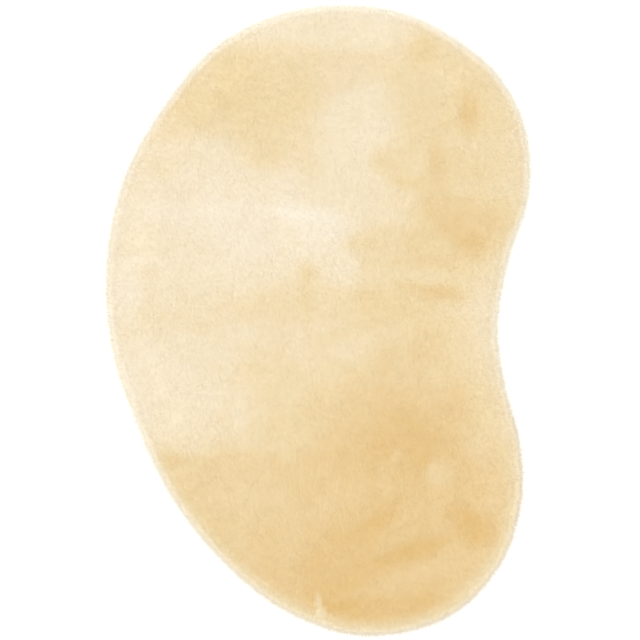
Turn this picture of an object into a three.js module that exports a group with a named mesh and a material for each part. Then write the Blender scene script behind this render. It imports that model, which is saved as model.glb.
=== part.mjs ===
// A bean-shaped shag rug, lying flat. Millimetres, Z up.
// X runs across the rug and Y along it. The underside rests at Z = 0.

import * as THREE from 'three';

// Driving sizes
const clothThickness = 3; // the ground cloth that carries the pile
const pileLength = 25; // one tuft, standing straight up
const lockCount = 240; // locks of pile that fall over the edge, side by side
const lockReach = 18; // how far a lock reaches past the edge of the ground cloth
const lockRootHeight = 16; // a lock's height where it leaves the pile
const lockBendShare = 0.64; // where along its reach a lock starts to narrow to its tip
const lockBendHeight = 10;
const lockBendWidthShare = 0.7; // of the width of its root
const lockTipHeight = 1.5;
const lockUnevenness = 0.16; // share by which reach, width and height vary
const lockSweep = 4; // most that a tip leans along the edge, each way
const locksPerSway = 9; // locks between one lean to the left and the next

const clumpPitch = 100; // spacing of the clumps that make the top lumpy
const clumpRise = 6; // from the hollow between clumps to their crown
const clumpScatter = 0.36; // how far a clump strays from its even place, in pitches
const clumpRadiusShare = 0.82; // of the pitch
const patchFade = { from: 0.6, to: 1.2 }; // where a brushed patch fades out, in its half sizes

const fieldRingCount = 18; // rings of points from the rim in to the rug's middle line
const fieldPointSpacing = 28; // along each of those rings
const endShare = 0.1; // share of the edge, each side of the crown, that faces the line's end

// The line that the tips of the pile reach, counter-clockwise from the crown
const pileEdge = [
  { x: 90, y: 915 },
  { x: -100, y: 893 },
  { x: -295, y: 797 },
  { x: -450, y: 618 },
  { x: -562, y: 415 },
  { x: -614, y: 168 },
  { x: -600, y: -75 },
  { x: -532, y: -287 },
  { x: -434, y: -500 },
  { x: -295, y: -682 },
  { x: -110, y: -836 },
  { x: 120, y: -916 },
  { x: 372, y: -866 },
  { x: 527, y: -715 },
  { x: 592, y: -525 },
  { x: 586, y: -350 },
  { x: 545, y: -195 }, // out of the waist
  { x: 523, y: -20 }, // the waist, at its deepest
  { x: 556, y: 180 }, // into the waist
  { x: 614, y: 370 },
  { x: 600, y: 568 },
  { x: 518, y: 720 },
  { x: 405, y: 814 },
  { x: 265, y: 887 },
];

// The line down the middle of the bean, from the crown's end to the foot's
const middleLine = [
  { x: 60, y: 440 },
  { x: -45, y: 0 },
  { x: 90, y: -460 },
];

// How the pile bends down to its edge: each row is a ring of the rim
const rimRings = [
  { inset: 0, topDrop: pileLength + clothThickness - lockRootHeight },
  { inset: 9, topDrop: 4.5 },
  { inset: 26, topDrop: 1.2 },
];

// Where the pile stands up from being brushed one way, or lies over from the other.
// halfLong and halfWide are the patch's half sizes, turn is in degrees from X.
const brushedPatches = [
  { x: -190, y: 665, halfLong: 260, halfWide: 130, turn: 8, lift: 1.6 },
  { x: 110, y: 520, halfLong: 185, halfWide: 95, turn: 88, lift: -2.2 },
  { x: 320, y: 560, halfLong: 200, halfWide: 120, turn: -60, lift: 1.4 },
  { x: -215, y: 285, halfLong: 370, halfWide: 135, turn: -6, lift: -2.4 },
  { x: 425, y: 262, halfLong: 130, halfWide: 85, turn: -15, lift: 2.0 },
  { x: -60, y: 30, halfLong: 190, halfWide: 70, turn: 12, lift: 1.2 },
  { x: -385, y: -195, halfLong: 210, halfWide: 130, turn: -10, lift: -2.0 },
  { x: 60, y: -570, halfLong: 430, halfWide: 220, turn: -12, lift: 1.6 },
  { x: 250, y: -320, halfLong: 140, halfWide: 95, turn: 35, lift: 1.6 },
  { x: 440, y: -600, halfLong: 90, halfWide: 60, turn: 20, lift: 1.2 },
  { x: 5, y: -828, halfLong: 34, halfWide: 18, turn: 105, lift: 4.0 }, // a tuft flipped back at the rim
];

// Unevenness is drawn from a repeatable scatter: each trait below has a row of its own there
const scatterSteps = { column: 12.9898, row: 78.233, stretch: 43758.5453 };
const trait = { reach: 3, rimHeight: 7, sway: 11, width: 19, bendHeight: 23, tipHeight: 29, clump: 41 };

// A repeatable value from 0 to 1 for two whole numbers
function scatter(column, row) {
  const mixed = Math.sin(column * scatterSteps.column + row * scatterSteps.row) * scatterSteps.stretch;
  return mixed - Math.floor(mixed);
}

// The same, from -1 to 1
function spread(column, row) {
  return 2 * scatter(column, row) - 1;
}

// Rounded clumps with creases between them: 1 on a clump's crown, 0 in a deep crease
function clumpShape(x, y) {
  const homeColumn = Math.round(x / clumpPitch);
  const homeRow = Math.round(y / clumpPitch);
  const radius = clumpPitch * clumpRadiusShare;
  let highest = 0;
  for (let column = homeColumn - 1; column <= homeColumn + 1; column += 1) {
    for (let row = homeRow - 1; row <= homeRow + 1; row += 1) {
      const crownX = (column + clumpScatter * spread(column, row)) * clumpPitch;
      const crownY = (row + clumpScatter * spread(row + trait.clump, column)) * clumpPitch;
      const away = Math.hypot(x - crownX, y - crownY) / radius;
      highest = Math.max(highest, 1 - away * away);
    }
  }
  return highest;
}

// The lift of all the brushed patches at a place, each fading out at its edge
function brushLift(x, y) {
  let lift = 0;
  for (const patch of brushedPatches) {
    const turn = THREE.MathUtils.degToRad(patch.turn);
    const along = (x - patch.x) * Math.cos(turn) + (y - patch.y) * Math.sin(turn);
    const across = (y - patch.y) * Math.cos(turn) - (x - patch.x) * Math.sin(turn);
    const away = Math.hypot(along / patch.halfLong, across / patch.halfWide);
    lift += patch.lift * (1 - THREE.MathUtils.smoothstep(away, patchFade.from, patchFade.to));
  }
  return lift;
}

// Height of the top of the pile
function pileTop(x, y) {
  const clump = clumpRise * (clumpShape(x, y) - 0.5);
  return clothThickness + pileLength + clump + brushLift(x, y);
}

// The rug's surface, gathered as points and triangles
const points = [];
const triangles = [];

function addPoint(x, y, z) {
  points.push(x, y, z);
  return points.length / 3 - 1;
}

function addQuad(a, b, c, d) {
  triangles.push(a, b, c, a, c, d);
}

// Fills the band between two rings. A ring has its points evenly round the rug, and its
// start, in steps, says how far past the crown the first one lies, so rows can be staggered.
function bridgeRings(outer, inner) {
  const outerCount = outer.points.length;
  const innerCount = inner.points.length;
  let i = 0;
  let j = 0;
  while (i < outerCount || j < innerCount) {
    const outerPoint = outer.points[i % outerCount];
    const innerPoint = inner.points[j % innerCount];
    const outerNext = (i + 1 + outer.start) / outerCount;
    const innerNext = (j + 1 + inner.start) / innerCount;
    if (j === innerCount || (i < outerCount && outerNext <= innerNext)) {
      i += 1;
      triangles.push(outerPoint, outer.points[i % outerCount], innerPoint);
    } else {
      j += 1;
      const nextInnerPoint = inner.points[j % innerCount];
      if (nextInnerPoint !== innerPoint) {
        triangles.push(outerPoint, nextInnerPoint, innerPoint);
      }
    }
  }
}

// The pile's edge and the rug's middle as smooth lines
function smoothLine(places, closed) {
  const corners = places.map((place) => new THREE.Vector3(place.x, place.y, 0));
  return new THREE.CatmullRomCurve3(corners, closed, 'centripetal');
}

const edgeCurve = smoothLine(pileEdge, true);
const middleCurve = smoothLine(middleLine, false);
const up = new THREE.Vector3(0, 0, 1);

function edgeAt(share) {
  const around = THREE.MathUtils.euclideanModulo(share, 1);
  return edgeCurve.getPointAt(around);
}

function outwardAt(share) {
  const around = THREE.MathUtils.euclideanModulo(share, 1);
  return edgeCurve.getTangentAt(around).cross(up).normalize();
}

// A place set in from the pile's edge
function insetAt(share, inset) {
  return edgeAt(share).addScaledVector(outwardAt(share), -inset);
}

// How far down the middle line lies the place that a share of the edge faces
function middleShareAt(share) {
  const fromCrown = Math.min(share, 1 - share);
  return THREE.MathUtils.clamp((fromCrown - endShare) / (0.5 - 2 * endShare), 0, 1);
}

function middleAt(share) {
  return middleCurve.getPointAt(middleShareAt(share));
}

// One ring of the rim, standing a given distance in from the edge of the ground cloth
function addRimRing(inset, start, heightAt) {
  const ring = { start, points: [] };
  for (let i = 0; i < lockCount; i += 1) {
    const place = insetAt((i + start) / lockCount, lockReach + inset);
    ring.points.push(addPoint(place.x, place.y, heightAt(place, i)));
  }
  return ring;
}

// Where a lock leaves the pile its height is uneven, so the rim is lumpy too
function rimHeight(drop) {
  return (place, i) => {
    const unevenDrop = drop * (1 + (lockUnevenness / 2) * spread(i, trait.rimHeight));
    return pileTop(place.x, place.y) - unevenDrop;
  };
}

// Every other row of points stands half a step on
function rowStart(row) {
  return (row % 2) / 2;
}

const floorRing = addRimRing(0, 0, () => 0);
const rimTopRings = rimRings.map((ring, row) => {
  return addRimRing(ring.inset, rowStart(row), rimHeight(ring.topDrop));
});

// The lumpy field: rings that draw in to the middle line and hold fewer points as they do
const fieldEdgeInset = lockReach + rimRings.at(-1).inset;
const edgeLength = edgeCurve.getLength();
const middleLoopLength = 2 * middleCurve.getLength();

function fieldPointCount(outwardShare) {
  const ringLength = THREE.MathUtils.lerp(middleLoopLength, edgeLength, outwardShare);
  return 2 * Math.round(ringLength / fieldPointSpacing / 2);
}

function addFieldRing(ringIndex) {
  const outwardShare = 1 - ringIndex / fieldRingCount;
  const pointCount = fieldPointCount(outwardShare);
  const ring = { start: rowStart(ringIndex), points: [] };
  for (let i = 0; i < pointCount; i += 1) {
    const share = (i + ring.start) / pointCount;
    const place = middleAt(share).lerp(insetAt(share, fieldEdgeInset), outwardShare);
    ring.points.push(addPoint(place.x, place.y, pileTop(place.x, place.y)));
  }
  return ring;
}

// The middle line itself, as a ring that goes down it and comes back on the same points
function addMiddleRing() {
  const halfCount = fieldPointCount(0) / 2;
  const down = [];
  for (let i = 0; i <= halfCount; i += 1) {
    const share = i / halfCount / 2;
    const isNew = i === 0 || middleShareAt(share) !== middleShareAt((i - 1) / halfCount / 2);
    const place = middleAt(share);
    down.push(isNew ? addPoint(place.x, place.y, pileTop(place.x, place.y)) : down[i - 1]);
  }
  return { start: 0, points: [...down, ...down.slice(1, -1).reverse()] };
}

let outerRing = rimTopRings[0];
for (const ring of rimTopRings.slice(1)) {
  bridgeRings(outerRing, ring);
  outerRing = ring;
}
for (let ringIndex = 1; ringIndex < fieldRingCount; ringIndex += 1) {
  const ring = addFieldRing(ringIndex);
  bridgeRings(outerRing, ring);
  outerRing = ring;
}
bridgeRings(outerRing, addMiddleRing());

// The flat underside
const undersideMiddle = addPoint(0, 0, 0);
for (let i = 0; i < lockCount; i += 1) {
  triangles.push(floorRing.points[(i + 1) % lockCount], floorRing.points[i], undersideMiddle);
}

// A four-sided lock lies on the floor, narrows from its bend and ends in a low tip
function addLock(index) {
  const next = (index + 1) % lockCount;
  const middleShare = (index + 0.5) / lockCount;
  const outward = outwardAt(middleShare);
  const along = up.clone().cross(outward);
  const root = insetAt(middleShare, lockReach);
  const uneven = (row) => 1 + lockUnevenness * spread(index, row);
  const reach = lockReach * uneven(trait.reach);
  const swayTurn = (2 * Math.PI * index) / locksPerSway + spread(index, trait.sway) / 2;
  const sweep = lockSweep * Math.sin(swayTurn);
  const halfBendWidth = ((edgeLength / lockCount) * lockBendWidthShare * uneven(trait.width)) / 2;
  const bendHeight = lockBendHeight * uneven(trait.bendHeight);
  const tipHeight = lockTipHeight * (1 + spread(index, trait.tipHeight) / 2);

  const bend = root.clone().addScaledVector(outward, reach * lockBendShare);
  bend.addScaledVector(along, sweep * lockBendShare);
  const near = bend.clone().addScaledVector(along, -halfBendWidth);
  const far = bend.clone().addScaledVector(along, halfBendWidth);
  const tip = root.clone().addScaledVector(outward, reach).addScaledVector(along, sweep);

  const wallTop = rimTopRings[0].points;
  const rootCorners = [floorRing.points[index], floorRing.points[next], wallTop[next], wallTop[index]];
  const bendCorners = [
    addPoint(near.x, near.y, 0),
    addPoint(far.x, far.y, 0),
    addPoint(far.x, far.y, bendHeight),
    addPoint(near.x, near.y, bendHeight),
  ];
  const tipPoint = addPoint(tip.x, tip.y, tipHeight);
  for (let side = 0; side < 4; side += 1) {
    const after = (side + 1) % 4;
    addQuad(rootCorners[side], rootCorners[after], bendCorners[after], bendCorners[side]);
    triangles.push(bendCorners[side], bendCorners[after], tipPoint);
  }
}

for (let index = 0; index < lockCount; index += 1) {
  addLock(index);
}

// One closed body, set with the middle of its box over the origin
const pileGeometry = new THREE.BufferGeometry();
pileGeometry.setAttribute('position', new THREE.Float32BufferAttribute(points, 3));
pileGeometry.setIndex(triangles);
pileGeometry.computeBoundingBox();
const boxMiddle = pileGeometry.boundingBox.getCenter(new THREE.Vector3());
pileGeometry.translate(-boxMiddle.x, -boxMiddle.y, 0);
pileGeometry.computeVertexNormals();

const creamPlush = new THREE.MeshStandardMaterial({ color: 0xf0dab0, roughness: 0.95, metalness: 0 });
const shagPile = new THREE.Mesh(pileGeometry, creamPlush);
shagPile.name = 'shag_pile';

const rug = new THREE.Group();
rug.name = 'shag_rug';
rug.add(shagPile);

export default rug;
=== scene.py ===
import math
import bpy
import numpy as np
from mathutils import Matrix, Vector
from mathutils.bvhtree import BVHTree
from mathutils.kdtree import KDTree


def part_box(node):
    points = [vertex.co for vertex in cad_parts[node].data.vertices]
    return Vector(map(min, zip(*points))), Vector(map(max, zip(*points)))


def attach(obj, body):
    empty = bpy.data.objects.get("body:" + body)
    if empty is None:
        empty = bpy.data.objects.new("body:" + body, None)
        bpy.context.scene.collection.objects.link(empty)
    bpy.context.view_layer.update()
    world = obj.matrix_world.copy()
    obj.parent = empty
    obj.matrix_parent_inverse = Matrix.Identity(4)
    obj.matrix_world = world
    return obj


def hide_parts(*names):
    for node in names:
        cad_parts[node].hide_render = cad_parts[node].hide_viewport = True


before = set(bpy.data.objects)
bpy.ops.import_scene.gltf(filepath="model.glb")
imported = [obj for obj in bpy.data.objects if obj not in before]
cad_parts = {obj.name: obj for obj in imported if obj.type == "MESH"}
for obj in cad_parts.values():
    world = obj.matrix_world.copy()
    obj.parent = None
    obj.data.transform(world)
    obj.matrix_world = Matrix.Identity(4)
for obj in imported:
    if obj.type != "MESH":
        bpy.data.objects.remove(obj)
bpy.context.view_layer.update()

# A bean-shaped rug of dense cream plush, seen from straight above. Metres.
# X runs across the rug, Y along it towards the crown, and the floor is at Z = 0.


# Camera: the rug's middle lies at a named pixel of the 640 x 640 frame

photoView = {
    "framePixels": 640,
    "rugMiddlePixel": (317.9, 320.9),
    "metresPerPixel": 0.0029,
    "edgeHeight": 0.012,  # the height at which the scale above holds
    "lens": 110,
    "sensor": 36,
}


def makeCamera(view):
    frameWidth = view["framePixels"] * view["metresPerPixel"]
    frameMiddle = view["framePixels"] / 2
    x = (frameMiddle - view["rugMiddlePixel"][0]) * view["metresPerPixel"]
    y = (view["rugMiddlePixel"][1] - frameMiddle) * view["metresPerPixel"]
    height = view["edgeHeight"] + frameWidth * view["lens"] / view["sensor"]
    bpy.ops.object.camera_add(location=(x, y, height), rotation=(0, 0, 0))
    camera = bpy.context.object
    camera.data.lens = view["lens"]
    camera.data.sensor_width = view["sensor"]
    camera.data.clip_end = 100
    bpy.context.scene.camera = camera
    return camera


makeCamera(photoView)
print("camera set")


# The frame: the cloth's edge and the pile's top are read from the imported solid

fields = {
    "cell": 0.004,  # spacing of the grid that heights and brush marks are worked out on
    "margin": 0.03,
    "smoothing": 3,  # passes that round off the solid's facets
    "edgeSteps": 1600,
    "overhang": 0.018,  # how far the pile hangs out over the cloth's edge
    "lipHeight": 0.0155,  # the pile's height right over that edge
    "lowest": 0.0015,
    "floorSlack": 1e-5,  # triangles under this height are the underside's
    "turnSteps": 4,  # steps each way that the edge's direction is taken over
}


def solidTriangles(node):
    mesh = node.data
    mesh.calc_loop_triangles()
    places = np.array([v.co for v in mesh.vertices])
    corners = np.array([t.vertices for t in mesh.loop_triangles])
    return places, corners


# The underside is one fan, so its middle is the place that most floor triangles share
def readClothEdge(places, corners):
    onFloor = places[corners][:, :, 2].max(axis=1) < fields["floorSlack"]
    spots, ids = np.unique(np.round(places, 6), axis=0, return_inverse=True)
    floorCorners = ids.reshape(-1)[corners[onFloor]]
    middle = np.bincount(floorCorners.ravel()).argmax()
    fan = floorCorners[(floorCorners == middle).any(axis=1)]
    rim = spots[np.setdiff1d(np.unique(fan), [middle])][:, :2]
    around = np.arctan2(*(rim - spots[middle][:2]).T[::-1])
    return rim[np.argsort(around)]


# Even steps along a closed line, with the outward direction at each
def evenSteps(line, count):
    closed = np.vstack([line, line[:1]])
    lengths = np.hypot(*np.diff(closed, axis=0).T)
    along = np.concatenate([[0], np.cumsum(lengths)])
    stops = np.linspace(0, along[-1], count, endpoint=False)
    places = np.stack([np.interp(stops, along, closed[:, axis]) for axis in (0, 1)], axis=1)
    reach = fields["turnSteps"]
    forward = np.roll(places, -reach, axis=0) - np.roll(places, reach, axis=0)
    outward = np.stack([forward[:, 1], -forward[:, 0]], axis=1)
    outward /= np.linalg.norm(outward, axis=1, keepdims=True)
    return places, outward


def insideLine(x, y, line):
    inside = np.zeros(x.shape, bool)
    for (x0, y0), (x1, y1) in zip(line, np.roll(line, -1, axis=0)):
        crosses = (y0 > y) != (y1 > y)
        if y0 != y1:
            inside ^= crosses & (x < (x1 - x0) * (y - y0) / (y1 - y0) + x0)
    return inside


def blur(values, passes):
    for _ in range(passes):
        for axis in (0, 1):
            values = (np.roll(values, 1, axis) + 2 * values + np.roll(values, -1, axis)) / 4
    return values


def smoothStep(values, low, high):
    share = np.clip((values - low) / (high - low), 0, 1)
    return share * share * (3 - 2 * share)


def mix(a, b, share):
    return a + (b - a) * share


solidPlaces, solidCorners = solidTriangles(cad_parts["shag_pile"])
clothEdge = readClothEdge(solidPlaces, solidCorners)
edgePlaces, edgeOutward = evenSteps(clothEdge, fields["edgeSteps"])
solidTree = BVHTree.FromPolygons(solidPlaces.tolist(), solidCorners.tolist())
low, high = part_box("shag_pile")
gridLow = np.array([low.x, low.y]) - fields["margin"]
gridHigh = np.array([high.x, high.y]) + fields["margin"]
gridSize = np.ceil((gridHigh - gridLow) / fields["cell"]).astype(int) + 1
gridLines = [gridLow[axis] + np.arange(gridSize[axis]) * fields["cell"] for axis in (0, 1)]
gridX, gridY = np.meshgrid(*gridLines, indexing="ij")


# A grid's value at any places, blended from the four cells round each
def readGrid(values, x, y):
    columns = np.clip((x - gridLow[0]) / fields["cell"], 0, gridSize[0] - 1.001)
    rows = np.clip((y - gridLow[1]) / fields["cell"], 0, gridSize[1] - 1.001)
    i, j = columns.astype(int), rows.astype(int)
    u, v = columns - i, rows - j
    near = values[i, j] * (1 - u) + values[i + 1, j] * u
    far = values[i, j + 1] * (1 - u) + values[i + 1, j + 1] * u
    return near * (1 - v) + far * v


# How far each grid place lies in from the cloth's edge, and the way out to it
def measureInset():
    tree = KDTree(len(edgePlaces))
    for index, place in enumerate(edgePlaces):
        tree.insert((place[0], place[1], 0), index)
    tree.balance()
    distance = np.zeros(gridX.shape)
    nearest = np.zeros(gridX.shape, int)
    for index in np.ndindex(gridX.shape):
        found = tree.find((gridX[index], gridY[index], 0))
        nearest[index] = found[1]
        distance[index] = found[2]
    inside = insideLine(gridX, gridY, clothEdge)
    return np.where(inside, distance, -distance), edgeOutward[nearest]


# The solid's top over the cloth, and beyond it the round fall of the pile to the floor
def measureTop():
    top = np.zeros(gridX.shape)
    onCloth = (insetGrid > 0).astype(float)
    for index in zip(*np.nonzero(onCloth)):
        above = Vector((gridX[index], gridY[index], 1))
        top[index] = solidTree.ray_cast(above, Vector((0, 0, -1)))[0].z
    top = blur(top, fields["smoothing"]) / np.maximum(blur(onCloth, fields["smoothing"]), 1e-3)
    share = np.clip(1 + insetGrid / fields["overhang"], 0, 1)
    fall = fields["lipHeight"] * np.sqrt(1 - (1 - share) ** 2)
    return np.where(insetGrid > 0, top, np.maximum(fall, fields["lowest"]))


insetGrid, outwardGrid = measureInset()
topGrid = measureTop()
print("frame measured")


# Brush marks, painted sheen and shade: where the pile has been stroked it lies over or stands,
# and the sheen of pile lying over and the shade of pile seen into are painted into its colour
# as pale and deep tones. tone runs from -1, deepest, to 1, palest.

nap = {
    "tone": 0.28,  # where nothing has brushed it
    "seed": 11,
    "drift": [(0.130, 0.015), (0.048, 0.008), (0.018, 0.0035)],  # size and reach of ragged edges
    "driftTurn": (0.4, 0.9),  # of the first of these grains, and from each to the next
    "clouds": [(0.075, 0.09), (0.030, 0.07), (0.013, 0.035)],  # size and tone of mottling
    "cloudLength": 1.3,  # against its width
    "cloudTurn": 0.7,
    "strokeSize": (0.130, 0.009),
    "strokeTone": 0.050,
    "strokePatch": 0.17,
    "strokeTurn": math.radians(2),
    "footStrokeTurn": math.radians(24),
    "footStart": (0.15, 0.45),  # how far below the middle the foot's strokes start and take over
    "rimFade": (0.2, 1.15),  # where a rim mark starts and stops fading, in its widths
    "edgeStart": -0.002,
    "edgeUneven": 0.15,
    "edgeUnevenSize": 0.06,
    "wayDeep": math.radians(-105),  # where the tips point in the deepest and palest pile
    "wayPale": math.radians(-15),
    "wayWander": math.radians(38),
    "wayWanderSize": 0.16,
    "lieDeep": 0.55,  # 0 stands straight up, 1 lies flat
    "liePale": 0.92,
    # how far in from the pile's end, and the tone added there to make up for the shade
    # between the lowest locks and the shine on the roll
    "roll": [(0, 0.08), (0.0045, 0.62), (0.009, 0.50), (0.012, 0.15), (0.0165, -0.17),
             (0.021, -0.03), (0.026, 0.14), (0.030, 0.15), (0.034, 0.07), (0.039, 0)],
}

# Later marks lie over earlier ones. Each has the x and y of its middle, half its length and
# width, its turn from X in degrees, its tone, painted sheen where pale and painted shade where
# deep, and how far it fades as a share of its size.
brushSheenShadeMarks = [
    ("foot", 0.035, -0.870, 1.100, 0.506, 0, -0.13, 0.06),
    ("foot rise, upper", 0.240, -0.270, 0.260, 0.170, 38, -0.30, 0.75),
    ("foot rise, lower", 0.230, -0.590, 0.370, 0.270, 8, -0.42, 0.35),
    ("foot flank", -0.290, -0.620, 0.200, 0.060, -48, -0.24, 0.75),
    ("foot flank, low", -0.060, -0.770, 0.150, 0.060, -30, -0.42, 0.75),
    ("foot edge shade", -0.425, -0.400, 0.080, 0.018, 0, -0.24, 0.95),
    ("foot pale, left", -0.190, -0.500, 0.090, 0.045, 0, -0.06, 0.75),
    ("waist", 0.330, -0.010, 0.240, 0.150, 0, 0.06, 0.45),
    ("waist, low", 0.310, -0.110, 0.100, 0.045, 20, -0.10, 0.75),
    ("waist side", 0.480, 0.000, 0.170, 0.055, 92, 0.34, 0.75),
    ("waist side, low", 0.500, -0.290, 0.120, 0.045, 100, 0.10, 0.75),
    ("back low", -0.400, -0.200, 0.215, 0.165, -4, 0.55, 0.16),
    ("back low shine", -0.460, -0.140, 0.095, 0.050, -32, 0.76, 0.75),
    ("back low side", -0.545, -0.180, 0.110, 0.035, 105, 0.76, 0.80),
    ("back low grey", -0.400, 0.015, 0.130, 0.034, 0, 0.38, 0.80),
    ("middle deep", -0.130, -0.160, 0.095, 0.080, 0, 0.14, 0.75),
    ("middle deep, low", -0.060, -0.290, 0.120, 0.070, 12, -0.02, 0.75),
    ("middle pale", 0.050, -0.085, 0.150, 0.036, 14, 0.30, 0.75),
    ("middle crease", 0.100, -0.030, 0.090, 0.009, 17, 0.02, 0.95),
    ("middle streak", 0.195, -0.125, 0.060, 0.020, 78, -0.24, 0.95),
    ("middle, upper", -0.220, 0.060, 0.100, 0.040, 0, 0.42, 0.90),
    ("middle grey", -0.120, 0.035, 0.090, 0.050, 4, 0.18, 0.70),
    ("crown, back side", -0.225, 0.655, 0.245, 0.116, -3, 0.06, 0.25),
    ("crown, back core", -0.190, 0.610, 0.120, 0.045, 0, -0.08, 0.95),
    ("crown, back tail", -0.150, 0.505, 0.085, 0.042, -30, 0.04, 0.70),
    ("crown, middle", 0.090, 0.750, 0.110, 0.045, 0, 0.24, 0.75),
    ("crown top", 0.050, 0.850, 0.280, 0.062, 0, 0.60, 0.35),
    ("crown, waist side", 0.400, 0.560, 0.320, 0.190, 95, 0.04, 0.35),
    ("crown stroke", 0.115, 0.540, 0.165, 0.105, 80, 0.64, 0.42),
    ("crown stroke foot", 0.070, 0.385, 0.150, 0.070, 4, 0.50, 0.75),
    ("crown shade, low", 0.230, 0.455, 0.075, 0.055, -20, 0.08, 0.45),
    ("crown crease", 0.275, 0.388, 0.055, 0.011, 0, -0.16, 0.95),
    ("crown pale, low", 0.240, 0.325, 0.070, 0.040, 0, 0.32, 0.95),
    ("crown spot, top", 0.310, 0.775, 0.045, 0.035, -30, -0.14, 0.95),
    ("crown spot, side", 0.436, 0.612, 0.058, 0.026, 93, -0.44, 0.90),
    ("crown spot, low", 0.355, 0.450, 0.070, 0.022, 97, -0.24, 0.95),
    ("crown side", 0.545, 0.430, 0.120, 0.045, 88, 0.20, 0.75),
    ("back", -0.270, 0.285, 0.385, 0.182, -8, 0.62, 0.24),
    ("back, upper", -0.370, 0.480, 0.150, 0.060, 6, 0.56, 0.60),
    ("back spot", -0.452, 0.432, 0.034, 0.026, 0, 0.34, 0.95),
    ("back tip", 0.052, 0.165, 0.085, 0.050, -42, 0.64, 0.30),
    ("back, left grey", -0.400, 0.195, 0.100, 0.050, 0, 0.54, 0.40),
    ("back, low grey", -0.370, 0.115, 0.130, 0.030, 2, 0.54, 0.80),
    ("back, middle", -0.250, 0.130, 0.110, 0.040, 0, 0.52, 0.80),
    ("back, left side", -0.560, 0.090, 0.110, 0.040, 88, 0.76, 0.80),
    ("back shine", -0.300, 0.310, 0.170, 0.034, -3, 0.84, 0.95),
    ("back shine, low", -0.190, 0.228, 0.110, 0.032, -12, 0.78, 0.95),
    ("back shine, tip", -0.040, 0.285, 0.100, 0.055, -14, 0.86, 0.75),
    ("back shine, core", -0.065, 0.315, 0.050, 0.020, -5, 1.05, 0.95),
    ("back streak", -0.520, 0.172, 0.060, 0.010, 0, 0.78, 0.95),
    ("middle spot", -0.034, 0.125, 0.030, 0.038, 0, 0.06, 0.75),
    ("middle spot, low", -0.022, 0.045, 0.030, 0.055, 0, 0.10, 0.55),
    ("waist shade, left", 0.210, 0.228, 0.120, 0.042, 4, -0.04, 0.45),
    ("waist shade, right", 0.440, 0.285, 0.125, 0.070, -14, -0.38, 0.60),
    ("waist shade arm", 0.360, 0.325, 0.055, 0.022, -20, -0.28, 0.95),
    ("waist shade core", 0.442, 0.225, 0.045, 0.034, -30, -0.50, 0.95),
    ("waist shade, low", 0.300, 0.180, 0.130, 0.028, 4, 0.00, 0.95),
    ("waist streak", 0.250, 0.140, 0.130, 0.010, 1, 0.28, 0.95),
    ("waist spot", 0.332, 0.084, 0.066, 0.020, -17, -0.50, 0.95),
    ("waist spot foot", 0.205, 0.045, 0.110, 0.048, 4, -0.14, 0.75),
    ("foot core", 0.285, -0.365, 0.115, 0.080, 22, -0.82, 0.95),
    ("foot core, upper", 0.255, -0.275, 0.060, 0.045, 50, -0.60, 0.95),
    ("foot core arm", 0.165, -0.388, 0.105, 0.038, 12, -0.62, 0.95),
    ("foot shade, right", 0.380, -0.260, 0.075, 0.050, -40, -0.44, 0.95),
    ("foot swirl", 0.350, -0.445, 0.050, 0.040, 0, -0.24, 0.45),
    ("foot patch", 0.040, -0.520, 0.070, 0.035, 10, -0.24, 0.95),
    ("foot side", 0.500, -0.450, 0.100, 0.060, 96, -0.34, 0.95),
    ("foot stroke, upper", 0.172, -0.572, 0.085, 0.022, 37, -0.76, 0.95),
    ("foot shade, left", 0.090, -0.650, 0.105, 0.060, 10, -0.66, 0.55),
    ("foot stroke, lower", 0.200, -0.695, 0.165, 0.034, 23, -0.84, 0.75),
    ("foot stroke core", 0.275, -0.662, 0.060, 0.018, 18, -0.98, 0.95),
    ("foot corner", 0.045, -0.745, 0.115, 0.055, 4, -0.70, 0.75),
    ("foot knot", 0.455, -0.605, 0.085, 0.055, -38, -0.84, 0.75),
    ("foot streak", 0.315, -0.735, 0.210, 0.020, 17, -0.34, 0.95),
    ("foot hollow", 0.205, -0.832, 0.215, 0.036, 4, -0.84, 0.60),
    ("foot hollow core", 0.070, -0.822, 0.060, 0.018, 0, -0.98, 0.95),
]
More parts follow.
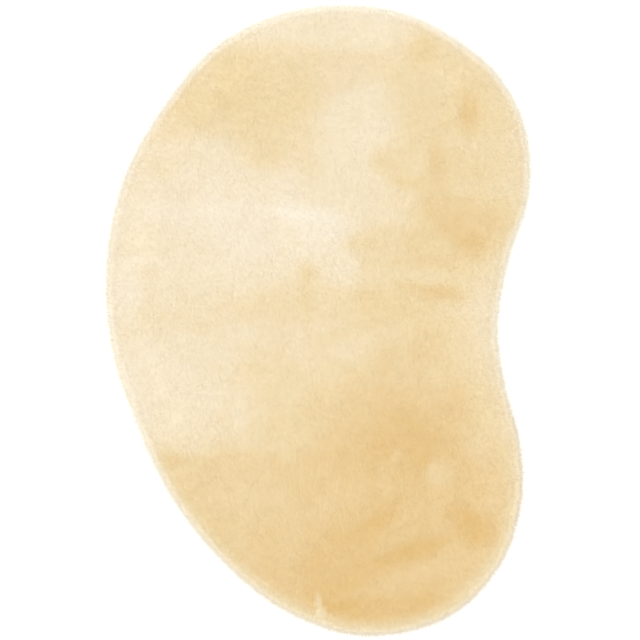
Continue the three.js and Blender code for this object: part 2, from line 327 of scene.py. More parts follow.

# Fainter strokes on top: x, y, half length, half width, turn, and the tone each one adds, painted sheen where
# above 0 and painted shade where below
faintMarks = [
    (-0.270, 0.535, 0.110, 0.035, 0, -0.20), (-0.070, 0.760, 0.060, 0.035, 0, -0.12),
    (-0.250, 0.710, 0.035, 0.035, 0, -0.10), (0.120, 0.700, 0.120, 0.055, 0, -0.08),
    (0.180, 0.810, 0.110, 0.025, 0, -0.08), (-0.520, 0.470, 0.110, 0.040, 66, -0.14),
    (-0.510, 0.225, 0.040, 0.030, 0, -0.14), (0.280, 0.385, 0.055, 0.030, -20, -0.13),
    (0.385, 0.420, 0.070, 0.030, 90, -0.12), (0.520, 0.360, 0.045, 0.045, 0, -0.14),
    (0.420, 0.165, 0.080, 0.065, 20, -0.28), (0.320, 0.235, 0.070, 0.040, 30, -0.13),
    (0.230, 0.130, 0.130, 0.050, 20, -0.09), (0.100, 0.095, 0.045, 0.035, 20, -0.20),
    (0.020, 0.160, 0.050, 0.028, 105, -0.14), (0.310, -0.075, 0.070, 0.055, -30, -0.15),
    (0.170, -0.145, 0.080, 0.022, 0, -0.14), (0.455, -0.160, 0.080, 0.030, 80, -0.10),
    (0.065, -0.290, 0.095, 0.080, 50, -0.30), (-0.400, -0.355, 0.120, 0.028, 0, -0.20),
    (-0.270, -0.240, 0.090, 0.040, 95, -0.12), (-0.160, -0.430, 0.130, 0.075, -40, -0.12),
    (-0.185, -0.620, 0.060, 0.055, 40, -0.20), (0.090, -0.560, 0.070, 0.050, 30, -0.20),
    (0.290, -0.600, 0.070, 0.028, 5, -0.18), (0.430, -0.470, 0.085, 0.055, -60, -0.17),
    (0.360, -0.755, 0.055, 0.028, 10, -0.18), (0.210, -0.770, 0.090, 0.018, 0, -0.12),
    (-0.025, -0.825, 0.055, 0.030, 0, -0.12), (-0.470, -0.420, 0.120, 0.030, -55, -0.09),
    (-0.100, 0.130, 0.070, 0.035, 30, -0.09), (0.580, -0.300, 0.070, 0.030, 80, -0.10),
    (0.000, 0.585, 0.060, 0.035, 0, 0.18), (-0.290, 0.410, 0.080, 0.055, 0, 0.16),
    (-0.170, 0.350, 0.045, 0.045, 0, 0.12), (-0.250, 0.220, 0.090, 0.090, 0, 0.12),
    (-0.260, 0.135, 0.065, 0.035, 10, 0.15), (-0.450, 0.080, 0.090, 0.038, -30, 0.16),
    (-0.340, 0.065, 0.060, 0.025, 0, 0.10), (-0.505, -0.030, 0.080, 0.032, 0, 0.15),
    (-0.240, -0.025, 0.055, 0.040, 0, 0.25), (-0.160, -0.050, 0.070, 0.045, -10, 0.13),
    (-0.120, -0.265, 0.090, 0.035, 10, 0.10), (0.260, 0.620, 0.100, 0.032, 88, 0.13),
    (0.100, 0.300, 0.210, 0.085, 10, 0.09), (0.150, 0.240, 0.080, 0.028, 20, 0.07),
    (-0.080, 0.500, 0.060, 0.035, 0, 0.10), (0.025, 0.450, 0.035, 0.035, 0, 0.10),
    (0.190, 0.885, 0.120, 0.028, -4, 0.13), (0.400, 0.770, 0.045, 0.045, 0, 0.09),
    (0.520, 0.660, 0.060, 0.040, 70, 0.12), (0.480, 0.500, 0.045, 0.032, 0, 0.10),
    (0.585, 0.440, 0.100, 0.028, 84, 0.10), (0.505, 0.255, 0.060, 0.024, 0, 0.14),
    (0.530, 0.130, 0.050, 0.022, 90, 0.12), (0.415, 0.040, 0.035, 0.025, 0, 0.12),
    (0.505, -0.060, 0.040, 0.032, 90, 0.09), (0.530, -0.170, 0.080, 0.022, 100, 0.16),
    (0.240, -0.230, 0.038, 0.038, 0, 0.15), (0.345, -0.205, 0.050, 0.038, 90, 0.16),
    (0.310, -0.330, 0.060, 0.045, 0, 0.08), (0.200, -0.435, 0.055, 0.032, 0, 0.15),
    (0.080, -0.440, 0.035, 0.035, 0, 0.09), (0.205, -0.540, 0.055, 0.028, 80, 0.12),
    (0.545, -0.460, 0.045, 0.038, 60, 0.17), (-0.080, -0.665, 0.060, 0.045, 0, 0.14),
    (0.000, -0.640, 0.045, 0.055, 0, 0.13), (-0.050, -0.745, 0.100, 0.030, 10, 0.17),
    (0.280, -0.690, 0.085, 0.028, 20, 0.21), (0.505, -0.635, 0.040, 0.034, 0, 0.24),
    (0.090, -0.840, 0.070, 0.026, 0, 0.23), (0.210, -0.840, 0.060, 0.022, 0, 0.16),
    (0.310, -0.830, 0.060, 0.028, 10, 0.25), (-0.485, -0.200, 0.045, 0.035, 0, 0.10),
    (-0.050, -0.580, 0.045, 0.035, 0, 0.10),
]

# Painted sheen: where the pile rolls over the edge it shows its sides, and their sheen is painted
# in as a paler tone, palest at the very edge. Directions are seen from the rug's middle, in
# degrees from X.
rimSheenMarks = [
    {"towards": 0, "edgeSheenTone": 1.20, "edgeWidth": 0.016, "tone": 0.60, "width": 0.030},
    {"towards": 30, "edgeSheenTone": 1.20, "edgeWidth": 0.014, "tone": 0.42, "width": 0.034},
    {"towards": 60, "edgeSheenTone": 1.12, "edgeWidth": 0.018, "tone": 0.60, "width": 0.033},
    {"towards": 90, "edgeSheenTone": 1.22, "edgeWidth": 0.022, "tone": 0.88, "width": 0.027},
    {"towards": 120, "edgeSheenTone": 0.98, "edgeWidth": 0.018, "tone": 0.58, "width": 0.026},
    {"towards": 150, "edgeSheenTone": 0.93, "edgeWidth": 0.016, "tone": 0.70, "width": 0.026},
    {"towards": 180, "edgeSheenTone": 1.08, "edgeWidth": 0.014, "tone": 0.92, "width": 0.032},
    {"towards": 210, "edgeSheenTone": 1.16, "edgeWidth": 0.016, "tone": 0.76, "width": 0.030},
    {"towards": 240, "edgeSheenTone": 1.02, "edgeWidth": 0.014, "tone": 0.50, "width": 0.034},
    {"towards": 270, "edgeSheenTone": 1.08, "edgeWidth": 0.012, "tone": 0.36, "width": 0.048},
    {"towards": 300, "edgeSheenTone": 0.98, "edgeWidth": 0.010, "tone": 0.32, "width": 0.054},
    {"towards": 330, "edgeSheenTone": 0.97, "edgeWidth": 0.010, "tone": 0.30, "width": 0.048},
]

# A tuft that has flipped back over the pile at the foot, and small pale wisps; their tones are painted sheen
# and shade of pile lying another way
wisps = [
    ("flipped tuft, tip", 0.001, -0.815, 0.027, 0.0060, 104, 0.30, 0.50),
    ("flipped tuft, foot", 0.010, -0.848, 0.022, 0.0130, 112, 0.36, 0.50),
    ("back wisp", -0.442, 0.074, 0.036, 0.0040, 12, 0.82, 0.50),
    ("back low wisp", -0.230, -0.280, 0.030, 0.0080, 125, 0.60, 0.50),
    ("foot wisp", 0.224, -0.392, 0.030, 0.0070, 56, -0.28, 0.50),
]


noise = {
    "lattice": 512,  # grains before it repeats
    "start": 200,  # the grain at the rug's middle
}


# Smooth noise from -1 to 1, its grains of a given length, width and turn
def softNoise(x, y, long, wide, seed, turn=0.5):
    side = noise["lattice"]
    lattice = np.random.RandomState(seed).uniform(-1, 1, (side, side))
    u = (x * math.cos(turn) + y * math.sin(turn)) / long + noise["start"]
    v = (y * math.cos(turn) - x * math.sin(turn)) / wide + noise["start"]
    i, j = np.floor(u).astype(int), np.floor(v).astype(int)
    su, sv = smoothStep(u - i, 0, 1), smoothStep(v - j, 0, 1)
    corner = [lattice[(i + a) % side, (j + b) % side] for a, b in ((0, 0), (1, 0), (0, 1), (1, 1))]
    return mix(mix(corner[0], corner[1], su), mix(corner[2], corner[3], su), sv)


# How far places lie from a mark's middle: 1 at its edge
def awayFrom(middleX, middleY, halfLong, halfWide, turn, x, y):
    turn = math.radians(turn)
    along = (x - middleX) * math.cos(turn) + (y - middleY) * math.sin(turn)
    across = (y - middleY) * math.cos(turn) - (x - middleX) * math.sin(turn)
    return np.hypot(along / halfLong, across / halfWide)


def layMark(tone, mark, x, y):
    *form, markTone, fade = mark[1:]
    return mix(tone, markTone, 1 - smoothStep(awayFrom(*form, x, y), 1 - fade, 1 + fade))


# The rim's painted sheen, read round the edge for each place
def rimSheenValue(column):
    towards = np.degrees(np.arctan2(gridY, gridX)) % 360
    ends = [mark["towards"] for mark in rimSheenMarks] + [360]
    values = [mark[column] for mark in rimSheenMarks] + [rimSheenMarks[0][column]]
    return np.interp(towards, ends, values)


# The nap's tone over the grid: painted sheen and shade of the brushed pile, painted sheen at the rim, and the
# roll's tone that makes up for shade and shine
def paintNapSheenShade():
    x, y = gridX.copy(), gridY.copy()
    for step, (size, reach) in enumerate(nap["drift"]):
        turn = nap["driftTurn"][0] + nap["driftTurn"][1] * step
        x += reach * softNoise(gridX, gridY, size, size, nap["seed"] + step, turn)
        y += reach * softNoise(gridX, gridY, size, size, nap["seed"] + step + 20, turn)
    tone = np.full(gridX.shape, nap["tone"])
    for mark in brushSheenShadeMarks:
        tone = layMark(tone, mark, x, y)
    for *form, change in faintMarks:
        tone += change * np.exp(-awayFrom(*form, gridX, gridY) ** 2)
    for step, (size, strength) in enumerate(nap["clouds"]):
        length = size * nap["cloudLength"]
        tone += strength * softNoise(x, y, length, size, nap["seed"] + step + 40, nap["cloudTurn"] * step)
    long, wide = nap["strokeSize"]
    level = softNoise(x, gridY, long, wide, nap["seed"] + 50, nap["strokeTurn"])
    slanted = softNoise(x, gridY, long, wide, nap["seed"] + 51, nap["footStrokeTurn"])
    patch = 0.5 + 0.5 * softNoise(x, y, nap["strokePatch"], nap["strokePatch"], nap["seed"] + 52)
    tone += 2 * nap["strokeTone"] * patch * mix(level, slanted, smoothStep(-gridY, *nap["footStart"]))
    fromEdge = insetGrid + fields["overhang"]
    unevenSize = nap["edgeUnevenSize"]
    uneven = 1 + nap["edgeUneven"] * softNoise(gridX, gridY, unevenSize, unevenSize, nap["seed"] + 60)
    fadeStart = rimSheenValue("width") * nap["rimFade"][0]
    fadeStop = rimSheenValue("width") * uneven * nap["rimFade"][1]
    # painted sheen where the pile rolls over the edge, palest at the very edge
    tone = mix(tone, rimSheenValue("tone"), 1 - smoothStep(fromEdge, fadeStart, fadeStop))
    edgeSheenShare = 1 - smoothStep(fromEdge, nap["edgeStart"], rimSheenValue("edgeWidth") * uneven)
    tone = mix(tone, rimSheenValue("edgeSheenTone"), edgeSheenShare)
    tone += np.interp(fromEdge, *zip(*nap["roll"]))
    for wisp in wisps:
        tone = layMark(tone, wisp, gridX, gridY)
    return tone


napSheenShadeGrid = paintNapSheenShade()
print("nap brushed: tone from %.2f to %.2f" % (napSheenShadeGrid.min(), napSheenShadeGrid.max()))


# Small modelling helpers

def clearSelection():
    if bpy.context.mode != "OBJECT":
        bpy.ops.object.mode_set(mode="OBJECT")
    bpy.ops.object.select_all(action="DESELECT")


def finishPiece(piece, name, material):
    piece.name = name
    piece.data.name = name
    piece.data.materials.clear()
    piece.data.materials.append(material)
    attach(piece, "root")
    return piece


# A slab of the cloth's outline: a circle drawn out to the edge, then extruded
def addSlab(line, bottom, thickness):
    clearSelection()
    bpy.ops.mesh.primitive_circle_add(vertices=len(line), radius=1, fill_type="NGON")
    slab = bpy.context.object
    for corner, place in zip(slab.data.vertices, line):
        corner.co = (place[0], place[1], bottom)
    bpy.ops.object.mode_set(mode="EDIT")
    bpy.ops.mesh.select_all(action="SELECT")
    bpy.ops.mesh.extrude_region_move(TRANSFORM_OT_translate={"value": (0, 0, thickness)})
    bpy.ops.mesh.select_all(action="SELECT")
    bpy.ops.mesh.normals_make_consistent(inside=False)
    bpy.ops.object.mode_set(mode="OBJECT")
    return slab


# Materials

plushLook = {
    "deep": (0.699, 0.470, 0.179, 1),  # painted shade of standing pile, seen into
    "middle": (0.778, 0.638, 0.390, 1),
    "pale": (0.845, 0.766, 0.622, 1),  # painted sheen of pile lying over
    "tip": (0.955, 0.895, 0.750, 1),  # the very tips, at the edge, palest with their painted sheen
    "tones": (-1, 0, 1, 1.5),  # the nap's tone at each of these four
    "grainScale": 260,
    "grainTone": 0.012,
    "fibreScale": 900,
    "fibreBump": 0.10,
    "strandCount": 9,  # fibres across a lock
    "bedShadeShift": -0.1,  # the bed's tone against that of the locks on it, lowered as painted shade between the locks
    "strandLength": 1.2,  # fibres along it
    "fibreDepth": 0.0006,
    "roughness": 0.92,
    "specular": 0.05,
    "sheen": 0.12,
    "sheenRoughness": 0.5,
    "sheenTint": (1.0, 0.95, 0.86, 1),
}


def newMaterial(name):
    material = bpy.data.materials.new(name)
    material.use_nodes = True
    return material, material.node_tree.nodes, material.node_tree.links


def addNode(nodes, kind, **values):
    node = nodes.new(kind)
    for name, value in values.items():
        setattr(node, name, value)
    return node


# Cream plush: the nap's tone, painted sheen and shade, picks the colour, and fine grain breaks it up. A shift
# in tone, when given, deepens it as painted shade
def makePlush(name, look, paintedShadeShift, hasStrands):
    material, nodes, links = newMaterial(name)
    shader = nodes["Principled BSDF"]
    shader.inputs["Roughness"].default_value = look["roughness"]
    shader.inputs["Specular IOR Level"].default_value = look["specular"]
    shader.inputs["Sheen Weight"].default_value = look["sheen"]
    shader.inputs["Sheen Roughness"].default_value = look["sheenRoughness"]
    shader.inputs["Sheen Tint"].default_value = look["sheenTint"]

    # the nap's tone: painted sheen and shade
    paintedToneNode = addNode(nodes, "ShaderNodeAttribute", attribute_name="nap")
    place = addNode(nodes, "ShaderNodeTexCoord")
    flatten = addNode(nodes, "ShaderNodeMapping")
    flatten.inputs["Scale"].default_value = (1, 1, 0)
    grain = addNode(nodes, "ShaderNodeTexNoise")
    grain.inputs["Scale"].default_value = look["grainScale"]
    grain.inputs["Detail"].default_value = 3
    centre = addNode(nodes, "ShaderNodeMath", operation="SUBTRACT")
    centre.inputs[1].default_value = 0.5
    strength = addNode(nodes, "ShaderNodeMath", operation="MULTIPLY_ADD")
    strength.inputs[1].default_value = look["grainTone"] * 4
    shift = addNode(nodes, "ShaderNodeMapRange")
    shift.inputs["From Min"].default_value = look["tones"][0] - paintedShadeShift
    shift.inputs["From Max"].default_value = look["tones"][3] - paintedShadeShift
    ramp = addNode(nodes, "ShaderNodeValToRGB")
    ramp.color_ramp.elements[0].color = look["deep"]
    ramp.color_ramp.elements[1].color = look["tip"]
    for tone, colour in zip(look["tones"][1:3], (look["middle"], look["pale"])):
        share = (tone - look["tones"][0]) / (look["tones"][3] - look["tones"][0])
        ramp.color_ramp.elements.new(share).color = colour
    links.new(place.outputs["Object"], flatten.inputs["Vector"])
    links.new(flatten.outputs["Vector"], grain.inputs["Vector"])
    links.new(grain.outputs["Fac"], centre.inputs[0])
    links.new(centre.outputs[0], strength.inputs[0])
    links.new(paintedToneNode.outputs["Fac"], strength.inputs[2])
    links.new(strength.outputs[0], shift.inputs["Value"])
    links.new(shift.outputs["Result"], ramp.inputs["Fac"])
    links.new(ramp.outputs["Color"], shader.inputs["Base Color"])

    fibres = addNode(nodes, "ShaderNodeTexNoise")
    fibres.inputs["Detail"].default_value = 2
    if hasStrands:
        strand = addNode(nodes, "ShaderNodeAttribute", attribute_name="strand")
        stretch = addNode(nodes, "ShaderNodeMapping")
        across, along = look["strandCount"], look["strandLength"]
        stretch.inputs["Scale"].default_value = (across, along, across)
        fibres.inputs["Scale"].default_value = 1
        links.new(strand.outputs["Vector"], stretch.inputs["Vector"])
        links.new(stretch.outputs["Vector"], fibres.inputs["Vector"])
    else:
        fibres.inputs["Scale"].default_value = look["fibreScale"]
        links.new(place.outputs["Object"], fibres.inputs["Vector"])
    bump = addNode(nodes, "ShaderNodeBump")
    bump.inputs["Strength"].default_value = look["fibreBump"]
    bump.inputs["Distance"].default_value = look["fibreDepth"]
    links.new(fibres.outputs["Fac"], bump.inputs["Height"])
    links.new(bump.outputs["Normal"], shader.inputs["Normal"])
    return material


knitLook = {
    "yarn": (0.70, 0.62, 0.48, 1),
    "gap": (0.46, 0.39, 0.28, 1),
    "ribScale": 52.381,  # gives 167 ribs of the knit to the metre
    "rowScale": 38.095,  # and 121 rows
    "waviness": 0.6,
    "bump": 0.5,
    "bumpDepth": 0.0008,
    "roughness": 0.88,
    "specular": 0.25,
}


# Ground cloth: a plain knit, ribs one way and rows the other
def makeKnit(name, look):
    material, nodes, links = newMaterial(name)
    shader = nodes["Principled BSDF"]
    shader.inputs["Roughness"].default_value = look["roughness"]
    shader.inputs["Specular IOR Level"].default_value = look["specular"]
    place = addNode(nodes, "ShaderNodeTexCoord")
    ribs = addNode(nodes, "ShaderNodeTexWave", bands_direction="X")
    ribs.inputs["Scale"].default_value = look["ribScale"]
    rows = addNode(nodes, "ShaderNodeTexWave", bands_direction="Y")
    rows.inputs["Scale"].default_value = look["rowScale"]
    weave = addNode(nodes, "ShaderNodeMath", operation="MULTIPLY")
    ramp = addNode(nodes, "ShaderNodeValToRGB")
    ramp.color_ramp.elements[0].color = look["gap"]
    ramp.color_ramp.elements[1].color = look["yarn"]
    bump = addNode(nodes, "ShaderNodeBump")
    bump.inputs["Strength"].default_value = look["bump"]
    bump.inputs["Distance"].default_value = look["bumpDepth"]
    for wave in (ribs, rows):
        wave.inputs["Distortion"].default_value = look["waviness"]
        links.new(place.outputs["Object"], wave.inputs["Vector"])
    links.new(ribs.outputs["Fac"], weave.inputs[0])
    links.new(rows.outputs["Fac"], weave.inputs[1])
    links.new(weave.outputs[0], ramp.inputs["Fac"])
    links.new(ramp.outputs["Color"], shader.inputs["Base Color"])
    links.new(weave.outputs[0], bump.inputs["Height"])
    links.new(bump.outputs["Normal"], shader.inputs["Normal"])
    return material


plush = makePlush("creamPlush", plushLook, 0, True)
# The bed under the locks gets painted shade: its tone is set deeper
plushShadedBed = makePlush("creamPlushShadedBed", plushLook, plushLook["bedShadeShift"], False)
knit = makeKnit("knitGround", knitLook)


# Ground cloth

groundCloth = {
    "thickness": 0.003,
    "hem": 0.012,
    "hemDepth": 0.0008,
}


def makeGroundCloth(size):
    cloth = addSlab(clothEdge, 0, size["thickness"])
    bpy.ops.object.mode_set(mode="EDIT")
    bpy.ops.mesh.select_all(action="DESELECT")
    bpy.ops.object.mode_set(mode="OBJECT")
    for face in cloth.data.polygons:
        face.select = face.normal.z < -0.9
    bpy.ops.object.mode_set(mode="EDIT")
    bpy.ops.mesh.inset(thickness=size["hem"])  # the hem, turned under
    bpy.ops.mesh.inset(thickness=size["hemDepth"], depth=-size["hemDepth"])
    bpy.ops.object.mode_set(mode="OBJECT")
    return cloth


cloth = finishPiece(makeGroundCloth(groundCloth), "groundCloth", knit)
print("ground cloth: %d faces" % len(cloth.data.polygons))


# Pile bed: the dense foot of the pile, just under the tips

pileBed = {
    "bottom": 0.0028,
    "voxel": 0.0105,
    "slabTop": 0.022,
    "coverDepth": 0.0024,  # how far the locks stand above it
    "edgeDepth": 0.0012,  # added to that where the pile rolls over
    "edgeWidth": 0.030,
    "least": 0.0015,
    "roughSize": 0.014,
    "rough": 0.0004,
}


def bedTop(x, y):
    roll = 1 - smoothStep(readGrid(insetGrid, x, y), 0, pileBed["edgeWidth"])
    cover = readGrid(topGrid, x, y) - pileBed["coverDepth"] - pileBed["edgeDepth"] * roll
    rough = pileBed["rough"] * softNoise(x, y, pileBed["roughSize"], pileBed["roughSize"], 5)
    return np.maximum(cover + rough, pileBed["bottom"] + pileBed["least"])


def makePileBed(bed):
    slab = addSlab(clothEdge, bed["bottom"], bed["slabTop"] - bed["bottom"])
    slab.data.remesh_voxel_size = bed["voxel"]
    slab.data.remesh_voxel_adaptivity = 0
    bpy.ops.object.voxel_remesh()
    places = np.array([v.co for v in slab.data.vertices])
    share = np.clip((places[:, 2] - bed["bottom"]) / (bed["slabTop"] - bed["bottom"]), 0, 1)
    places[:, 2] = mix(bed["bottom"], bedTop(places[:, 0], places[:, 1]), share)
    slab.data.vertices.foreach_set("co", places.astype(np.float32).ravel())
    slab.data.update()
    bpy.ops.object.shade_smooth()
    return slab


# The nap's tone at every point, painted sheen and shade, and a flat map of the rug seen from above
def dressPile(piece):
    mesh = piece.data
    places = np.zeros(len(mesh.vertices) * 3, np.float32)
    mesh.vertices.foreach_get("co", places)
    places = places.reshape(-1, 3)
    tone = mesh.attributes.new("nap", "FLOAT", "POINT")
    tone.data.foreach_set("value", readGrid(napSheenShadeGrid, places[:, 0], places[:, 1]).astype(np.float32))
    while mesh.uv_layers:
        mesh.uv_layers.remove(mesh.uv_layers[0])
    layer = mesh.uv_layers.new(name="OFBake")
    corners = np.zeros(len(mesh.loops), np.int32)
    mesh.loops.foreach_get("vertex_index", corners)
    flat = (places[:, :2] - gridLow) / (gridSize.max() * fields["cell"])
    layer.uv.foreach_set("vector", flat[corners].astype(np.float32).ravel())


bed = makePileBed(pileBed)
dressPile(bed)
finishPiece(bed, "pileBed", plushShadedBed)
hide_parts("shag_pile")
print("pile bed: %d faces" % len(bed.data.polygons))


# Locks of pile: one lock is modelled, and each copy bends along a curve of its own

lockForm = {
    "sides": 3,
    "footWidth": 0.6,  # of a rim lock, which is widest where it bends
    "bendShare": 0.42,
    "sideBlend": 0.3,  # how far a side faces up before it is shaded wholly like the pile
    "shadeLift": 0.15,  # how far the round shading of a lock is turned up
    "strandShift": 1.7,  # from one lock's fibres to the next one's
}


# A lock stands along Z from 0 to 1, one wide at its foot and pointed at its tip
def modelLock(form, isBent):
    clearSelection()
    bpy.ops.mesh.primitive_cone_add(vertices=form["sides"], radius1=0.5, depth=1, location=(0, 0, 0.5))
    lock = bpy.context.object
    bpy.ops.object.transform_apply(location=True)
    if isBent:
        bpy.ops.object.mode_set(mode="EDIT")
        bpy.ops.mesh.select_all(action="SELECT")
        bpy.ops.mesh.bisect(plane_co=(0, 0, form["bendShare"]), plane_no=(0, 0, 1))
        bpy.ops.mesh.select_all(action="SELECT")
        bpy.ops.mesh.quads_convert_to_tris()
        bpy.ops.object.mode_set(mode="OBJECT")
        for point in lock.data.vertices:
            if point.co.z < 1e-4:
                point.co.x *= form["footWidth"]
                point.co.y *= form["footWidth"]
            elif point.co.z < 0.999:
                point.co.x /= 1 - form["bendShare"]
                point.co.y /= 1 - form["bendShare"]
    places = np.array([v.co for v in lock.data.vertices])
    faces = np.array([p.vertices for p in lock.data.polygons])
    bpy.data.objects.remove(lock)
    return places, faces


# A lock's upper sides are shaded like the pile as a whole, and its undersides as they lie
def shadeSides(places, corners, normals):
    a, b, c = (places[corners[:, corner]] for corner in range(3))
    sides = np.cross(b - a, c - a)
    sides /= np.maximum(np.linalg.norm(sides, axis=1, keepdims=True), 1e-12)
    soft = normals[corners]
    upward = np.sum(sides[:, None] * soft, axis=2).mean(axis=1)
    shaded = mix(sides[:, None], soft, smoothStep(upward, 0, lockForm["sideBlend"])[:, None, None])
    shaded /= np.linalg.norm(shaded, axis=2, keepdims=True)
    return shaded.reshape(-1, 3).astype(np.float32)


# Copies of a lock: each runs from its root, by its bend, to its tip
def growLocks(name, lock, grown):
    template, faces = lock
    roots, bends, tips = grown["root"], grown["bend"], grown["tip"]
    count = len(roots)
    along = template[:, 2][None, :, None]
    line = (1 - along) ** 2 * roots[:, None]
    line = line + 2 * along * (1 - along) * bends[:, None] + along**2 * tips[:, None]
    forward = (1 - along) * (bends - roots)[:, None] + along * (tips - bends)[:, None]
    forward /= np.linalg.norm(forward, axis=2, keepdims=True)
    side = np.stack([-grown["lean"][:, 1], grown["lean"][:, 0], np.zeros(count)], axis=1)[:, None]
    out = np.cross(forward, np.broadcast_to(side, forward.shape))
    out /= np.linalg.norm(out, axis=2, keepdims=True)
    turn = grown["turn"][:, None]
    across = template[:, 0] * np.cos(turn) - template[:, 1] * np.sin(turn)
    lift = template[:, 0] * np.sin(turn) + template[:, 1] * np.cos(turn)
    offset = side * (across * grown["width"][:, None])[:, :, None]
    offset = offset + out * (lift * grown["depth"][:, None])[:, :, None]
    places = (line + offset).reshape(-1, 3)
    corners = (faces[None] + (np.arange(count) * len(template))[:, None, None]).reshape(-1, 3)

    mesh = bpy.data.meshes.new(name)
    mesh.vertices.add(len(places))
    mesh.vertices.foreach_set("co", places.astype(np.float32).ravel())
    mesh.loops.add(corners.size)
    mesh.loops.foreach_set("vertex_index", corners.astype(np.int32).ravel())
    mesh.polygons.add(len(corners))
    mesh.polygons.foreach_set("loop_start", np.arange(0, corners.size, 3, dtype=np.int32))
    mesh.update(calc_edges=True)
    mesh.polygons.foreach_set("use_smooth", np.ones(len(corners), bool))
    rounded = side * across[:, :, None] + out * (lift + lockForm["shadeLift"])[:, :, None]
    rounded = rounded / np.maximum(np.linalg.norm(rounded, axis=2, keepdims=True), 1e-6)
    normals = mix(rounded, grown["facing"][:, None], grown["softness"])
    normals /= np.linalg.norm(normals, axis=2, keepdims=True)
    mesh.normals_split_custom_set(shadeSides(places, corners, normals.reshape(-1, 3)))
    strand = mesh.attributes.new("strand", "FLOAT_VECTOR", "POINT")
    strandPlaces = np.stack([across, np.broadcast_to(template[:, 2], across.shape), lift], axis=2)
    strandPlaces[:, :, 0] += np.arange(count)[:, None] * lockForm["strandShift"]
    strand.data.foreach_set("vector", strandPlaces.astype(np.float32).ravel())
    piece = bpy.data.objects.new(name, mesh)
    bpy.context.collection.objects.link(piece)
    dressPile(piece)
    return finishPiece(piece, name, plush)


fieldLocks = {
    "seed": 3,
    "pitch": 0.0034,
    "scatter": 0.5,
    "rollCount": 12000,  # more of them where the pile rolls over
    "rollWidth": 0.034,
    "length": 0.024,
    "lengthVary": 0.25,
    "width": 0.0044,
    "widthVary": 0.3,
    "depth": 0.0012,
    "rootDepth": 0.0006,  # below the bed's top
    "tipVary": 0.0004,
    "wayVary": 0.22,
    "fallWidth": 0.17,  # how far in from the edge the pile starts to fall outwards
    "leastInset": 0.001,  # no lock is rooted closer to the cloth's edge
    "lowestTip": 0.004,
    "tipRange": (-1, 0.6),
    "overhang": 0.0165,
    "trims": 2,  # times that a lock past the overhang is shortened
    "softness": 0.985,  # how far a lock is shaded like the pile as a whole
    "steepestShade": 0.6,  # light comes through the pile, so steeper falls are shaded like this slope
    "bands": ["pileCrown", "pileShoulder", "pileWaist", "pileFoot"],
}


def topFacing(x, y):
    step = 2 * fields["cell"]
    slopeX = (readGrid(topGrid, x + step, y) - readGrid(topGrid, x - step, y)) / (2 * step)
    slopeY = (readGrid(topGrid, x, y + step) - readGrid(topGrid, x, y - step)) / (2 * step)
    ease = np.minimum(1, fieldLocks["steepestShade"] / np.maximum(np.hypot(slopeX, slopeY), 1e-6))
    facing = np.stack([-slopeX * ease, -slopeY * ease, np.ones(len(x))], axis=1)
    return facing / np.linalg.norm(facing, axis=1, keepdims=True)


# Which way the pile leans, and how flat it lies
def napLean(x, y, fallWidth):
    tone = np.clip(readGrid(napSheenShadeGrid, x, y) / 2 + 0.5, 0, 1)
    way = mix(nap["wayDeep"], nap["wayPale"], tone)
    size = nap["wayWanderSize"]
    way += nap["wayWander"] * softNoise(x, y, size, size, nap["seed"] + 50)
    lie = mix(nap["lieDeep"], nap["liePale"], tone)
    outward = np.stack([readGrid(outwardGrid[:, :, axis], x, y) for axis in (0, 1)], axis=1)
    fall = 1 - smoothStep(readGrid(insetGrid, x, y), 0, fallWidth)
    lean = mix(np.stack([np.cos(way), np.sin(way)], axis=1), outward, fall[:, None])
    return lean, mix(lie, 1, fall)


def plantField(locks):
    rng = np.random.RandomState(locks["seed"])
    rowStep = locks["pitch"] * math.sqrt(3) / 2
    rows = np.arange(low.y, high.y, rowStep)
    columns = np.arange(low.x, high.x, locks["pitch"])
    x, y = np.meshgrid(columns, rows)
    x = x + (np.arange(len(rows)) % 2)[:, None] * locks["pitch"] / 2
    x = x.ravel() + rng.uniform(-1, 1, x.size) * locks["scatter"] * locks["pitch"]
    y = y.ravel() + rng.uniform(-1, 1, y.size) * locks["scatter"] * locks["pitch"]
    spot = rng.randint(0, len(edgePlaces), locks["rollCount"])
    rollPlaces = edgePlaces[spot] - edgeOutward[spot] * rng.uniform(0, locks["rollWidth"], len(spot))[:, None]
    x = np.concatenate([x, rollPlaces[:, 0]])
    y = np.concatenate([y, rollPlaces[:, 1]])
    keep = readGrid(insetGrid, x, y) > locks["leastInset"]
    x, y = x[keep], y[keep]
    count = len(x)
    lean, flat = napLean(x, y, locks["fallWidth"])
    lean += rng.normal(0, locks["wayVary"], (count, 2))
    lean /= np.linalg.norm(lean, axis=1, keepdims=True)
    length = locks["length"] * (1 + locks["lengthVary"] * rng.uniform(-1, 1, count))
    reach = length * flat
    for _ in range(locks["trims"]):
        beyond = -locks["overhang"] - readGrid(insetGrid, x + lean[:, 0] * reach, y + lean[:, 1] * reach)
        reach -= np.maximum(beyond, 0)
    tipX, tipY = x + lean[:, 0] * reach, y + lean[:, 1] * reach
    tipZ = np.maximum(readGrid(topGrid, tipX, tipY), locks["lowestTip"])
    tipZ = tipZ + locks["tipVary"] * rng.uniform(*locks["tipRange"], count)
    root = np.stack([x, y, bedTop(x, y) - locks["rootDepth"]], axis=1)
    tip = np.stack([tipX, tipY, tipZ], axis=1)
    return {
        "root": root, "bend": (root + tip) / 2, "tip": tip, "lean": lean,
        "turn": rng.uniform(0, 2 * math.pi, count),
        "width": locks["width"] * (1 + locks["widthVary"] * rng.uniform(-1, 1, count)),
        "depth": np.full(count, locks["depth"]),
        "facing": topFacing(x, y), "softness": locks["softness"],
    }


def pickLocks(grown, chosen):
    return {key: value[chosen] if isinstance(value, np.ndarray) else value for key, value in grown.items()}


